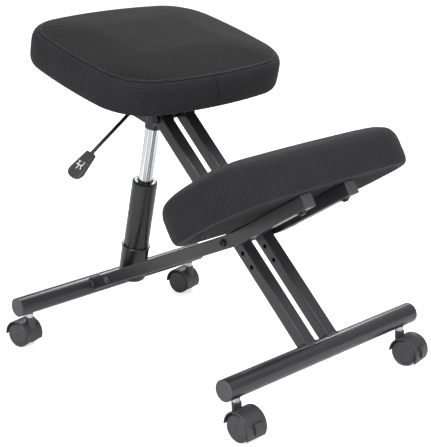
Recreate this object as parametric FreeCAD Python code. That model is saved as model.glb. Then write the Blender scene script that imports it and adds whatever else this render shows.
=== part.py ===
import FreeCAD, Part
import math
import os
from FreeCAD import Placement, Rotation, Vector

# Kneeling chair. Millimetres, +Z up, floor at Z = 0, front of the chair towards -Y, left side at +X.
# The origin is on the floor under the middle of the chair.

# Base tubes
wheelbase = 585.0
wheelbase_shift = 0.5
tube_height = 88.0
tube_diameter = 38.0
tube_wall = 2.0
tube_length = 476.0
plug_flange = 3.0
plug_edge = 1.5
plug_depth = 16.0

# Legs, the pair of straight square tubes that carry the seat
leg_size = 25.0
leg_wall = 1.5
leg_corner = 2.5
leg_gap = 31.0
leg_angle = 45.0
main_pivot_height = 262.0
seat_pivot_distance = 276.0
leg_end_past_seat_pivot = 22.0
adjust_hole_pitch = 30.5
adjust_hole_count = 3
adjust_hole_diameter = 8.5

# Arms, the pair of bent square tubes that carry the knee pad
arm_size = 25.0
arm_wall = 1.5
arm_corner = 2.5
arm_washer = 1.5
arm_bend_past_pivot = 21.5
arm_bend_radius = 60.0
arm_front_angle = 30.0
arm_tip_under_pad = 38.0
knee_bolt_before_middle = 61.0
knee_screw_behind_middle = 79.0

# Bolts and fits
running_gap = 0.05
slide_gap = 0.3
pivot_bolt_diameter = 8.0
pivot_head_diameter = 14.0
pivot_head_height = 5.0
pivot_head_edge = 3.0
pivot_socket = 5.0
nut_height = 6.5
nut_width = 13.0
bolt_past_nut = 1.5
washer_diameter = 16.0
leg_spacer_diameter = 14.0
seat_bolt_diameter = 10.0
seat_nut_width = 16.0
seat_nut_height = 6.0
open_pivot_gap = 1.3
board_bolt_diameter = 6.0
board_bolt_head = 12.0
board_bolt_head_height = 3.5
board_bolt_chamfer = 1.8
board_bolt_bite = 9.0
board_washer = 1.5
board_washer_diameter = 18.0
access_hole_diameter = 14.0

# Gas lift, measured along its own axis from the pin it turns on
gas_lean_angle = 16.0
gas_pivot_from_rear_tube = 70.0
gas_pin_diameter = 12.0
gas_spacer_diameter = 17.0
housing_diameter = 55.0
housing_depth_below_pin = 10.0
housing_height = 76.0
housing_wall = 2.5
housing_rim = 1.2
housing_rim_height = 5.0
outer_tube_diameter = 50.0
outer_tube_wall = 1.5
outer_tube_above_pin = 14.0
outer_tube_length = 192.0
outer_tube_end_wall = 3.0
bush_height = 60.0
bush_rim = 4.0
bush_edge = 1.2
bush_lead = 2.0
piston_rod_diameter = 10.0
piston_rod_length = 218.0
column_diameter = 28.0
column_length = 224.0
column_below_seat = 79.0
taper_length = 28.0
taper_end_diameter = 26.5
button_diameter = 8.0
button_height_above_column = 10.0
button_well_depth = 9.0
button_well_wall = 5.0
button_head = 12.0
button_head_height = 5.0
button_edge = 1.0

# Seat bracket, in the axes of the gas lift
socket_diameter = 32.0
bracket_width = 29.0
bracket_plate = 3.0
bracket_height = 99.0
bracket_rear = 58.0
bracket_step = 15.0
bracket_nose_radius = 15.0
mount_plate_thickness = 4.0
mount_plate_width = 150.0
mount_plate_depth = 176.0
mount_plate_corner = 12.0
seat_above_pivot = 60.647

# Release lever
lever_rod_diameter = 7.0
lever_pivot_offset = 24.0
lever_pin_diameter = 3.0
lever_inner_end = 3.0
lever_bend_offset = 62.0
lever_bend_radius = 18.0
lever_slope_angle = 40.0
lever_rod_reach = 118.0
lever_travel_angle = 8.0
clip_sheet = 2.0
clip_ear_height = 13.0
clip_past_pin = 4.8
handle_length = 74.0
handle_root_width = 22.0
handle_tip_width = 38.0
handle_tip_height = 14.25
handle_thickness = 9.0
handle_edge = 2.5
handle_grip = 24.0
handle_collar_past_root = 6.0

# Seat
seat_width = 430.0
seat_depth = 360.0
seat_offset = 16.0
seat_edge_height = 65.0
seat_crown = 8.0
seat_corner = 95.0
seat_side_radius = 900.0
seat_seam_drop = 3.2
seat_seam_inset = 10.4
seat_shoulder_height = 12.0
seat_shoulder_steps = 3
board_thickness = 12.0
board_inset = 22.0
seat_bolt_spread_x = 110.0
seat_bolt_spread_y = 136.0

# Knee pad
knee_width = 478.0
knee_depth = 242.0
knee_edge_height = 70.0
knee_crown = 10.0
knee_corner = 90.0
knee_front_radius = 2500.0
knee_end_radius = 620.0
knee_centre_past_bend = 116.0
knee_seam_drop = 14.0
knee_seam_inset = 2.0

# Cushion profile, the same for both pads
cushion_foot_inset = 9.0
cushion_foot_rise = 14.0
cushion_foot_steps = 3
cushion_border_share = 0.4
cushion_crown_steps = 6
cushion_crown_power = 2.6
cushion_crown_share = 0.38
cushion_crown_spacing = 1.8
cushion_least_corner = 4.0

# Casters
wheel_diameter = 50.0
wheel_width = 14.0
wheel_gap = 14.0
wheel_edge = 3.0
wheel_dish = 1.2
wheel_dish_radius = 19.0
caster_trail = 19.0
caster_inset = 26.0
stem_pin_diameter = 8.0
stem_pin_depth = 24.0
stem_collar_diameter = 14.0
stem_shank_diameter = 10.0
stem_shank_length = 24.0
boss_diameter = 17.0
boss_top = 60.5
hood_radius = 29.5
hood_wall = 3.0
hood_width = 44.0
hood_edge = 1.5
hood_web = 11.0
hood_web_floor = 13.0
hood_hub = 14.0
axle_diameter = 6.0
axle_length = 38.0
front_hood_far_angle = -33.0
front_hood_stem_angle = 176.0
rear_hood_far_angle = 0.0
rear_hood_stem_angle = 205.0
front_left_turn_angle = 9.5
front_right_turn_angle = 0.0
rear_turn_angle = 192.0
brake_width = 15.0
brake_angle = 20.0
brake_hub = 6.0
brake_pin = 2.5
brake_length = 17.0
brake_thickness = 2.5
brake_tread_gap = 1.0
brake_ear = 2.5
brake_ear_height = 4.2
brake_ear_angle = 6.0

# Places that follow from the sizes above
front_tube_y = wheelbase_shift - wheelbase / 2.0
rear_tube_y = front_tube_y + wheelbase
arm_front_length = knee_centre_past_bend + knee_depth / 2.0 - arm_tip_under_pad
tube_radius = tube_diameter / 2.0
leg_inner = leg_gap / 2.0
leg_outer = leg_inner + leg_size
arm_inner = leg_outer + arm_washer
arm_outer = arm_inner + arm_size
main_pivot_rise = main_pivot_height - tube_height
main_pivot_y = front_tube_y + main_pivot_rise / math.tan(math.radians(leg_angle))
leg_direction = Vector(0, math.cos(math.radians(leg_angle)), math.sin(math.radians(leg_angle)))
main_pivot = Vector(0, main_pivot_y, main_pivot_height)
front_tube_centre = Vector(0, front_tube_y, tube_height)
rear_tube_centre = Vector(0, rear_tube_y, tube_height)
arm_direction = (main_pivot - rear_tube_centre).normalize()
arm_bend = main_pivot + arm_direction * arm_bend_past_pivot
arm_front_slope = math.radians(arm_front_angle)
arm_front_direction = Vector(0, -math.cos(arm_front_slope), math.sin(arm_front_slope))
arm_front_up = Vector(0, math.sin(arm_front_slope), math.cos(arm_front_slope))
arm_tip = arm_bend + arm_front_direction * arm_front_length
gas_pivot = rear_tube_centre + arm_direction * gas_pivot_from_rear_tube
seat_pivot = main_pivot + leg_direction * seat_pivot_distance
leg_top = seat_pivot + leg_direction * leg_end_past_seat_pivot
wheel_radius = wheel_diameter / 2.0
tube_underside = tube_height - tube_radius

housing_top = housing_height - housing_depth_below_pin
outer_tube_top = outer_tube_above_pin + outer_tube_length
X_AXIS = Vector(1, 0, 0)
Y_AXIS = Vector(0, 1, 0)
Z_AXIS = Vector(0, 0, 1)


def turned(degrees, origin=Vector(0, 0, 0)):
    """Placement of an upright sub-part that leans about X and stands at an origin."""
    return Placement(origin, Rotation(X_AXIS, degrees))


gas_frame = turned(gas_lean_angle, gas_pivot)
knee_frame = turned(-arm_front_angle, arm_bend + arm_front_direction * knee_centre_past_bend
                    + arm_front_up * arm_size / 2.0)
seat_pivot_local = gas_frame.inverse().multVec(seat_pivot)
seat_underside = seat_pivot_local.z + seat_above_pivot
column_top = seat_underside - column_below_seat
taper_bottom = column_top - taper_length
button_top = column_top + button_height_above_column
button_bottom = column_top - button_well_depth


def placed(shape, placement):
    """A copy of a shape moved by a placement."""
    return shape.transformed(placement.toMatrix(), True)


def box(x, y, z):
    """Box from three (low, high) pairs."""
    return Part.makeBox(x[1] - x[0], y[1] - y[0], z[1] - z[0], Vector(x[0], y[0], z[0]))


def upright(radius, bottom, top):
    """Cylinder about a vertical axis."""
    return Part.makeCylinder(radius, top - bottom, Vector(0, 0, bottom), Z_AXIS)


def across(radius, x, centre):
    """Cylinder along X between two x values, through a centre."""
    return Part.makeCylinder(radius, x[1] - x[0], Vector(x[0], centre.y, centre.z), X_AXIS)


def along(radius, start, direction, length):
    """Cylinder from a point along a direction."""
    return Part.makeCylinder(radius, length, start, direction)


def revolved(points):
    """Solid of revolution about Z from (radius, height) points."""
    wire = Part.makePolygon([Vector(r, 0, z) for r, z in points + points[:1]])
    return Part.Face(wire).revolve(Vector(0, 0, 0), Z_AXIS, 360)


def hexagon(width, x, centre):
    """Hexagonal prism along X, measured across its flats."""
    corner = width / 2.0 / math.cos(math.radians(30))
    points = [Vector(x[0], centre.y + corner * math.cos(math.radians(60 * k)),
                     centre.z + corner * math.sin(math.radians(60 * k))) for k in range(7)]
    return Part.Face(Part.makePolygon(points)).extrude(X_AXIS * (x[1] - x[0]))


def bent_strip(points, half, x, radius=0.0):
    """Bar of square section that follows points in a YZ plane, with one tangent bend at each inner point."""
    sides = []
    for side in (1.0, -1.0):
        edges = []
        last = None
        for k, point in enumerate(points):
            before = (point - points[k - 1]).normalize() if k else None
            after = (points[k + 1] - point).normalize() if k + 1 < len(points) else None
            if before is None or after is None:
                normal = X_AXIS.cross(after or before)
                end = point + normal * half * side
                if last is not None:
                    edges.append(Part.LineSegment(last, end).toShape())
                last = end
                continue
            turn = math.acos(max(-1.0, min(1.0, before * after)))
            sense = 1.0 if before.cross(after) * X_AXIS > 0 else -1.0
            reach = radius * math.tan(turn / 2.0)
            arc_radius = radius - sense * side * half
            centre = point - before * reach + X_AXIS.cross(before) * radius * sense
            start = centre - X_AXIS.cross(before) * arc_radius * sense
            stop = centre - X_AXIS.cross(after) * arc_radius * sense
            middle = centre - (X_AXIS.cross(before) + X_AXIS.cross(after)).normalize() * arc_radius * sense
            edges.append(Part.LineSegment(last, start).toShape())
            edges.append(Part.Arc(start, middle, stop).toShape())
            last = stop
        sides.append(edges)
    first = sides[0][0].Vertexes[0].Point
    first_far = sides[1][0].Vertexes[0].Point
    final = sides[0][-1].Vertexes[-1].Point
    final_far = sides[1][-1].Vertexes[-1].Point
    caps = [Part.LineSegment(first, first_far).toShape(), Part.LineSegment(final, final_far).toShape()]
    wire = Part.Wire(Part.__sortEdges__(sides[0] + sides[1] + caps))
    face = Part.Face(wire)
    face.translate(Vector(x[0] - points[0].x, 0, 0))
    return face.extrude(X_AXIS * (x[1] - x[0]))


def square_tube(points, size, wall, corner, x, radius=0.0):
    """Square tube along points in a YZ plane, from x[0] to x[1], with rounded long edges."""
    outer = bent_strip(points, size / 2.0, x, radius)
    long_edges = [e for e in outer.Edges if e.Length > size + wall or isinstance(e.Curve, Part.Circle)]
    outer = outer.makeFillet(corner, long_edges)
    ends = [points[0] + (points[0] - points[1]).normalize() * size] + list(points[1:-1])
    ends.append(points[-1] + (points[-1] - points[-2]).normalize() * size)
    inner = bent_strip(ends, size / 2.0 - wall, (x[0] + wall, x[1] - wall), radius)
    return outer.cut(inner)


def outline(half_x, half_y, radius_x, radius_y, corner, inset, z):
    """Rounded rectangle with gently bowed sides, all arcs tangent, drawn in by an inset."""
    a, b = half_x - inset, half_y - inset
    rx, ry, r = radius_x - inset, radius_y - inset, max(corner - inset, cushion_least_corner)
    first, second = Vector(0, b - rx, 0), Vector(a - ry, 0, 0)
    d1, d2 = rx - r, ry - r
    gap = second - first
    reach = (d1 ** 2 - d2 ** 2 + gap.Length ** 2) / (2 * gap.Length)
    rise = math.sqrt(max(d1 ** 2 - reach ** 2, 0.0))
    unit = Vector(gap).normalize()
    options = [first + unit * reach + Z_AXIS.cross(unit) * rise * s for s in (1, -1)]
    centre = max(options, key=lambda p: p.x + p.y)
    top = centre + (centre - first).normalize() * r
    side = centre + (centre - second).normalize() * r
    middle = centre + ((top - centre) + (side - centre)).normalize() * r
    quarters = ((1, 1), (-1, 1), (-1, -1), (1, -1))
    corners = []
    for sx, sy in quarters:
        pair = [Vector(sx * p.x, sy * p.y, z) for p in (side, middle, top)]
        corners.append(pair if sx * sy > 0 else pair[::-1])
    mids = (Vector(0, b, z), Vector(-a, 0, z), Vector(0, -b, z), Vector(a, 0, z))
    edges = []
    for k in range(4):
        edges.append(Part.Arc(*corners[k]).toShape())
        edges.append(Part.Arc(corners[k][2], mids[k], corners[(k + 1) % 4][0]).toShape())
    return Part.Wire(edges)


def cushion_levels(height, crown, reach, seam_drop, seam_inset, shoulder, shoulder_steps):
    """(height, inset) pairs from the drawn-in foot over the border and its seam to the crown."""
    levels = []
    for k in range(cushion_foot_steps):
        angle = math.radians(90.0 * k / cushion_foot_steps)
        levels.append((cushion_foot_rise * (1 - math.cos(angle)), cushion_foot_inset * (1 - math.sin(angle))))
    seam = height - seam_drop
    levels.append((cushion_foot_rise + (seam - cushion_foot_rise) * cushion_border_share, 0.0))
    for k in range(shoulder_steps):
        angle = math.radians(90.0 * k / shoulder_steps)
        levels.append((seam - shoulder * (1 - math.sin(angle)), seam_inset * (1 - math.cos(angle))))
    levels.append((seam, seam_inset))
    for k in range(1, cushion_crown_steps + 1):
        share = (k / cushion_crown_steps) ** cushion_crown_spacing
        rise = (1 - (1 - share) ** cushion_crown_power) ** (1 / cushion_crown_power)
        levels.append((seam + (seam_drop + crown) * rise, seam_inset + reach * share))
    return levels


def cushion(width, depth, levels, corner, radius_x, radius_y):
    """Upholstered pad through its levels."""
    wires = [outline(width / 2, depth / 2, radius_x, radius_y, corner, inset, z) for z, inset in levels]
    return Part.makeLoft(wires, True, True)


def board(width, depth, corner, radius_x, radius_y):
    """Plywood panel that sits in the foot of a cushion."""
    wire = outline(width / 2, depth / 2, radius_x, radius_y, corner, 0.0, 0.0)
    return Part.Face(wire).extrude(Z_AXIS * board_thickness)


def both_sides(shape):
    """A shape and its mirror image across the middle plane."""
    return Part.makeCompound([shape, shape.mirror(Vector(0, 0, 0), X_AXIS)])


def save(name, shape):
    """Write one sub-part."""
    print(name, len(shape.Solids), "valid" if shape.isValid() else "INVALID", round(shape.Volume))
    shape.exportStep(os.path.join("parts", name + ".step"))


def base_tube(centre):
    """Round cross tube with the holes for its two caster stems."""
    half = tube_length / 2.0
    tube = across(tube_radius, (-half, half), centre)
    tube = tube.cut(across(tube_radius - tube_wall, (-half, half), centre))
    for sign in (-1, 1):
        hole = Part.makeCylinder(stem_shank_diameter / 2.0, tube_radius, Vector(
            sign * (half - caster_inset), centre.y, centre.z - tube_radius), Z_AXIS)
        tube = tube.cut(hole)
    return tube


def tube_plug(centre):
    """Flat plastic plug with a rounded rim for the left end of a base tube, turned about the tube's axis."""
    bore = tube_radius - tube_wall
    edge = plug_edge * math.tan(math.radians(22.5))
    points = [(0, -tube_wall), (bore - tube_wall, -tube_wall), (bore - tube_wall, -plug_depth), (bore, -plug_depth),
              (bore, 0), (tube_radius, 0), (tube_radius, plug_flange - plug_edge),
              (tube_radius - edge, plug_flange - edge), (tube_radius - plug_edge, plug_flange), (0, plug_flange)]
    return placed(revolved(points), Placement(centre + X_AXIS * (tube_length / 2.0), Rotation(Y_AXIS, 90)))


def square_plug(points, size, wall, x):
    """Closed plastic plug in the far end of a square tube."""
    end = points[-1]
    direction = (points[-1] - points[-2]).normalize()
    head = bent_strip([end, end + direction * plug_flange], size / 2.0, x)
    rims = [e for e in head.Edges if any((v.Point - end) * direction > plug_flange / 2 for v in e.Vertexes)]
    head = head.makeFillet(plug_edge, rims)
    body = bent_strip([end - direction * plug_depth, end], size / 2.0 - wall, (x[0] + wall, x[1] - wall))
    return head.fuse(body)


def leg(side):
    """One straight leg, coped onto the front tube, with its adjustment holes."""
    x = (leg_inner, leg_outer)
    shape = square_tube([front_tube_centre, leg_top], leg_size, leg_wall, leg_corner, x)
    shape = shape.cut(across(tube_radius, (0, leg_outer), front_tube_centre))
    shape = max(shape.Solids, key=lambda s: s.Volume)
    for k in range(adjust_hole_count):
        diameter = adjust_hole_diameter if k else pivot_bolt_diameter + 2 * running_gap
        centre = main_pivot - leg_direction * adjust_hole_pitch * k
        shape = shape.cut(across(diameter / 2.0, (0, leg_outer), centre))
    shape = shape.cut(across(seat_bolt_diameter / 2.0, (0, leg_outer), seat_pivot))
    return shape if side > 0 else shape.mirror(Vector(0, 0, 0), X_AXIS)


def arm_path():
    """Centre line of an arm from the rear tube to its tip."""
    return [rear_tube_centre, arm_bend, arm_tip]


def arm(side):
    """One bent arm, coped onto the rear tube."""
    x = (arm_inner, arm_outer)
    shape = square_tube(arm_path(), arm_size, arm_wall, arm_corner, x, arm_bend_radius)
    shape = shape.cut(across(tube_radius, (0, arm_outer), rear_tube_centre))
    shape = max(shape.Solids, key=lambda s: s.Volume)
    shape = shape.cut(across(pivot_bolt_diameter / 2.0, (0, arm_outer), main_pivot))
    shape = shape.cut(across(gas_pin_diameter / 2.0, (0, arm_outer), gas_pivot))
    middle = arm_bend + X_AXIS * (arm_inner + arm_outer) / 2.0 - arm_front_up * arm_size
    for place in (knee_bolt_before_middle, -knee_screw_behind_middle):
        low = middle + arm_front_direction * (knee_centre_past_bend + place)
        shape = shape.cut(along(board_bolt_diameter / 2.0, low, arm_front_up, 2 * arm_size))
    shape = shape.cut(along(access_hole_diameter / 2.0, low, arm_front_up, arm_size))
    return shape if side > 0 else shape.mirror(Vector(0, 0, 0), X_AXIS)


def pivot_bolt():
    """Main pivot bolt, with a button head and hexagon socket on the right-hand arm."""
    end = arm_outer + nut_height + bolt_past_nut
    shank = across(pivot_bolt_diameter / 2.0, (-arm_outer, end), main_pivot)
    head = across(pivot_head_diameter / 2.0, (-arm_outer - pivot_head_height, -arm_outer), main_pivot)
    rim = [e for e in head.Edges if e.CenterOfMass.x < -arm_outer - pivot_head_height / 2
           and e.Length > pivot_head_diameter]
    head = head.makeFillet(pivot_head_edge, rim)
    key = hexagon(pivot_socket, (-arm_outer - pivot_head_height, -arm_outer - pivot_head_height / 2), main_pivot)
    return shank.fuse(head).cut(key)


def hex_nut(bolt_diameter, width, height, x, centre):
    """Plain hexagon nut on a cross bolt."""
    return hexagon(width, (x, x + height), centre).cut(across(bolt_diameter / 2.0, (x, x + height), centre))


def ring(outer, inner, x, centre):
    """Washer or spacer on a cross bolt."""
    return across(outer / 2.0, x, centre).cut(across(inner / 2.0, x, centre))


def gas_housing():
    """Lower housing of the gas lift, closed at the bottom, that turns on the pin."""
    outer = housing_diameter / 2.0
    inner = outer_tube_diameter / 2.0
    rim = outer + housing_rim
    rim_low = housing_top - housing_rim_height
    low = -housing_depth_below_pin
    shape = revolved([(0, low), (outer - housing_wall, low), (outer, low + housing_wall), (outer, rim_low),
                      (rim, rim_low + housing_rim), (rim, housing_top - housing_rim), (outer, housing_top),
                      (inner, housing_top), (inner, low + housing_wall), (0, low + housing_wall)])
    pin = across(gas_pin_diameter / 2.0 + running_gap, (-rim, rim), Vector(0, 0, 0))
    return placed(shape.cut(pin), gas_frame)


def gas_outer_tube():
    """Outer tube of the gas lift, seated in the housing above the pin."""
    outer = outer_tube_diameter / 2.0
    inner = outer - outer_tube_wall
    rod = piston_rod_diameter / 2.0
    end = outer_tube_above_pin + outer_tube_end_wall
    shape = revolved([(rod, outer_tube_above_pin), (outer, outer_tube_above_pin), (outer, outer_tube_top),
                      (inner, outer_tube_top), (inner, end), (rod, end)])
    return placed(shape, gas_frame)


def gas_guide_bush():
    """Plastic bush with a rounded rim that guides the column in the outer tube."""
    outer = outer_tube_diameter / 2.0
    inner = outer - outer_tube_wall
    bore = column_diameter / 2.0 + running_gap
    top = outer_tube_top + bush_rim
    shape = revolved([(bore, outer_tube_top - bush_height), (inner, outer_tube_top - bush_height),
                      (inner, outer_tube_top), (outer, outer_tube_top), (outer - bush_edge, top - bush_edge),
                      (outer - bush_rim, top), (bore + bush_lead, top), (bore, top - bush_lead)])
    return placed(shape, gas_frame)


def piston_rod():
    """Rod fixed to the floor of the outer tube, on which the column slides."""
    rod = upright(piston_rod_diameter / 2.0, outer_tube_above_pin, outer_tube_above_pin + piston_rod_length)
    return placed(rod, gas_frame)


def gas_column():
    """Chromed column with a bore for the piston rod and a taper at its top."""
    outer = column_diameter / 2.0
    bore = piston_rod_diameter / 2.0 + running_gap
    well = button_diameter / 2.0 + running_gap
    low = column_top - column_length
    blind = button_bottom - button_well_wall
    shape = revolved([(bore, low), (outer, low), (outer, taper_bottom), (taper_end_diameter / 2.0, column_top),
                      (well, column_top), (well, button_bottom), (0, button_bottom), (0, blind), (bore, blind)])
    return placed(shape, gas_frame)


def release_button():
    """Button on top of the column that the lever presses; it has its travel below the head."""
    neck = button_diameter / 2.0
    head = button_head / 2.0
    low = button_bottom + lever_press() + slide_gap
    under = button_top - button_head_height
    shape = revolved([(0, low), (neck, low), (neck, under), (head, under), (head, button_top - button_edge),
                      (head - button_edge, button_top), (0, button_top)])
    return placed(shape, gas_frame)


def lever_press():
    """How far the inner end of the lever goes down over its travel."""
    return (lever_inner_end + lever_pivot_offset) * math.sin(math.radians(lever_travel_angle))


def taper_socket():
    """Short tube welded into the seat bracket, with the taper that grips the column."""
    outer = socket_diameter / 2.0
    shape = revolved([(column_diameter / 2.0, taper_bottom), (outer, taper_bottom), (outer, column_top),
                      (taper_end_diameter / 2.0, column_top)])
    return placed(shape, gas_frame)


def rod_height():
    """Height of the lever rod's centre line above the gas lift pin."""
    return button_top + slide_gap + lever_rod_diameter / 2.0


def bracket_side():
    """Outline of one side plate of the seat bracket, as a face in the YZ plane."""
    nose = seat_pivot_local
    top = seat_underside - mount_plate_thickness
    r = bracket_nose_radius
    bottom = seat_underside - bracket_height
    low = Vector(0, -bracket_step, bottom)
    to_nose = Vector(0, nose.y, nose.z) - low
    swing = math.asin(r / to_nose.Length)
    away = math.atan2(to_nose.z, to_nose.y) - swing
    length = math.sqrt(to_nose.Length ** 2 - r ** 2)
    touch = low + Vector(0, math.cos(away), math.sin(away)) * length
    front = Vector(0, nose.y - r, nose.z)
    lower = math.atan2(touch.z - nose.z, touch.y - nose.y)
    half_way = (lower - math.pi) / 2.0 if lower < 0 else (lower + math.pi) / 2.0
    bend = Vector(0, nose.y + r * math.cos(half_way), nose.z + r * math.sin(half_way))
    rear_low = Vector(0, bracket_rear, bottom)
    rear_top = Vector(0, bracket_rear, top)
    front_top = Vector(0, nose.y - r, top)
    edges = [Part.LineSegment(low, touch).toShape(), Part.Arc(touch, bend, front).toShape(),
             Part.LineSegment(front, front_top).toShape(), Part.LineSegment(front_top, rear_top).toShape(),
             Part.LineSegment(rear_top, rear_low).toShape(), Part.LineSegment(rear_low, low).toShape()]
    return Part.Face(Part.Wire(Part.__sortEdges__(edges)))


def seat_bracket():
    """Pressed bracket: two side plates, a rear web and the plate under the seat board."""
    half = bracket_width / 2.0
    top = seat_underside - mount_plate_thickness
    plate = bracket_side()
    plate.translate(Vector(half - bracket_plate, 0, 0))
    plate = plate.extrude(X_AXIS * bracket_plate)
    web = box((-half + bracket_plate, half - bracket_plate), (bracket_rear - bracket_plate, bracket_rear),
              (seat_underside - bracket_height, top))
    reach_x, reach_y = mount_plate_width / 2.0, mount_plate_depth / 2.0
    mount = box((-reach_x, reach_x), (seat_offset - reach_y, seat_offset + reach_y), (top, seat_underside))
    corners = [e for e in mount.Edges if abs(e.Vertexes[0].Z - e.Vertexes[-1].Z) > mount_plate_thickness / 2]
    mount = mount.makeFillet(mount_plate_corner, corners)
    shape = plate.fuse([plate.mirror(Vector(0, 0, 0), X_AXIS), web, mount]).removeSplitter()
    shape = shape.cut(upright(socket_diameter / 2.0, taper_bottom, column_top))
    shape = shape.cut(across(seat_bolt_diameter / 2.0 + open_pivot_gap, (-half, half), seat_pivot_local))
    reach = lever_rod_diameter / 2.0 + slide_gap
    dip = (lever_pivot_offset - half + bracket_plate) * math.sin(math.radians(lever_travel_angle))
    slot = box((-half, -half + bracket_plate), (-reach - slide_gap, reach + slide_gap),
               (rod_height() - reach - dip, rod_height() + reach + slide_gap))
    shape = shape.cut(slot)
    for x, y in seat_bolt_places():
        shape = shape.cut(upright(board_bolt_diameter / 2.0, top, seat_underside).translated(Vector(x, y, 0)))
    return placed(shape, gas_frame)


def seat_bolt_places():
    """The four bolts that hold the seat board, in the axes of the gas lift."""
    return [(sx * seat_bolt_spread_x / 2, seat_offset + sy * seat_bolt_spread_y / 2)
            for sx in (-1, 1) for sy in (-1, 1)]


def lever_ear_offset():
    """Half the width of the clip that holds the lever, inside its ears."""
    return lever_rod_diameter / 2.0 + slide_gap


def lever_clip():
    """Small U clip welded to the right side of the bracket, with two ears for the lever pin."""
    half = bracket_width / 2.0
    inner = lever_ear_offset()
    outer_x = -lever_pivot_offset - clip_past_pin
    z = (rod_height() - clip_ear_height / 2, rod_height() + clip_ear_height / 2)
    ear = box((outer_x, -half), (inner, inner + clip_sheet), z)
    pair = ear.fuse(ear.mirror(Vector(0, 0, 0), Y_AXIS))
    bridge = box((outer_x, -half), (-inner, inner), (z[1], z[1] + clip_sheet))
    skirt = box((outer_x, -half), (-inner - clip_sheet, inner + clip_sheet), (z[1], z[1] + clip_sheet))
    shape = pair.fuse([bridge, skirt]).removeSplitter()
    reach = inner + clip_sheet
    pin = along(lever_pin_diameter / 2.0, Vector(-lever_pivot_offset, -reach, rod_height()), Y_AXIS, 2 * reach)
    return placed(shape.cut(pin), gas_frame)


def lever_pin():
    """Pin through the clip and the lever rod."""
    reach = lever_ear_offset() + clip_sheet
    pin = along(lever_pin_diameter / 2.0, Vector(-lever_pivot_offset, -reach, rod_height()), Y_AXIS, 2 * reach)
    return placed(pin, gas_frame)


def lever_corner():
    """The bend of the lever rod and the direction of its outer run."""
    slope = math.radians(lever_slope_angle)
    return Vector(-lever_bend_offset, 0, rod_height()), Vector(-math.cos(slope), 0, -math.sin(slope))


def lever_rod():
    """Round rod from above the button, out through the bracket, then down to the handle."""
    corner, outward = lever_corner()
    turn = math.radians(lever_slope_angle)
    reach = lever_bend_radius * math.tan(turn / 2.0)
    centre = corner + X_AXIS * reach - Z_AXIS * lever_bend_radius
    start = corner + X_AXIS * reach
    stop = corner + outward * reach
    middle = centre + Vector(-math.sin(turn / 2), 0, math.cos(turn / 2)) * lever_bend_radius
    end = corner + outward * lever_rod_reach
    inner = Vector(lever_inner_end, 0, rod_height())
    path = Part.Wire([Part.LineSegment(inner, start).toShape(), Part.Arc(start, middle, stop).toShape(),
                      Part.LineSegment(stop, end).toShape()])
    section = Part.Wire(Part.Circle(inner, X_AXIS, lever_rod_diameter / 2.0).toShape())
    rod = path.makePipeShell([section], True, False)
    pivot = Vector(-lever_pivot_offset, -lever_rod_diameter, rod_height())
    pin = along(lever_pin_diameter / 2.0 + running_gap, pivot, Y_AXIS, 2 * lever_rod_diameter)
    return placed(rod.cut(pin), gas_frame)


def lever_handle():
    """Moulded paddle on the end of the lever rod, wider towards its rounded tip."""
    corner, outward = lever_corner()
    root = corner + outward * (lever_rod_reach - handle_grip)
    w1, w2, length = handle_root_width / 2.0, handle_tip_width / 2.0, handle_length
    shoulder = length - handle_tip_height
    points = [Vector(0, -w1, 0), Vector(shoulder, -w2, 0), Vector(length, 0, 0), Vector(shoulder, w2, 0),
              Vector(0, w1, 0)]
    edges = [Part.LineSegment(points[0], points[1]).toShape(), Part.Arc(points[1], points[2], points[3]).toShape(),
             Part.LineSegment(points[3], points[4]).toShape(), Part.LineSegment(points[4], points[0]).toShape()]
    half = handle_thickness / 2.0
    blade = Part.Face(Part.Wire(edges)).extrude(Z_AXIS * handle_thickness)
    blade.translate(Z_AXIS * -half)
    rims = [e for e in blade.Edges if abs(e.Vertexes[0].Z - e.Vertexes[-1].Z) < half]
    blade = blade.makeFillet(handle_edge, rims)
    collar = along(lever_rod_diameter, X_AXIS * -handle_collar_past_root, X_AXIS, handle_grip)
    shape = blade.fuse(collar)
    facing = Rotation(outward, Y_AXIS, Vector(0, 0, 0), "XYZ")
    shape = placed(shape, Placement(root, facing))
    bore = along(lever_rod_diameter / 2.0, root - outward * handle_grip, outward, 2 * handle_grip)
    return placed(shape.cut(bore), gas_frame)


def board_bolts(places, frame, reach, washer):
    """Hexagon-head bolts with washers, from below a plate up into a board."""
    under = -reach - board_washer
    bottom = under - board_bolt_head_height
    half = board_bolt_head / 2.0
    points = [(0, bottom), (half - board_bolt_chamfer, bottom), (half, bottom + board_bolt_chamfer), (half, under),
              (washer / 2.0, under), (washer / 2.0, -reach), (board_bolt_diameter / 2.0, -reach),
              (board_bolt_diameter / 2.0, board_bolt_bite), (0, board_bolt_bite)]
    if washer == board_bolt_head:
        points.remove((half, under))
    bolt = revolved(points)
    return [placed(bolt.translated(Vector(x, y, 0)), frame) for x, y in places]


def knee_bolt_pair(y):
    """The bolts at one place along both arms, in the axes of the knee pad."""
    x = (arm_inner + arm_outer) / 2.0
    return [(-x, y), (x, y)]


def drilled(panel, places):
    """A board with a blind hole over each of its bolts."""
    for x, y in places:
        panel = panel.cut(upright(board_bolt_diameter / 2.0, 0, board_bolt_bite).translated(Vector(x, y, 0)))
    return panel


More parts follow.
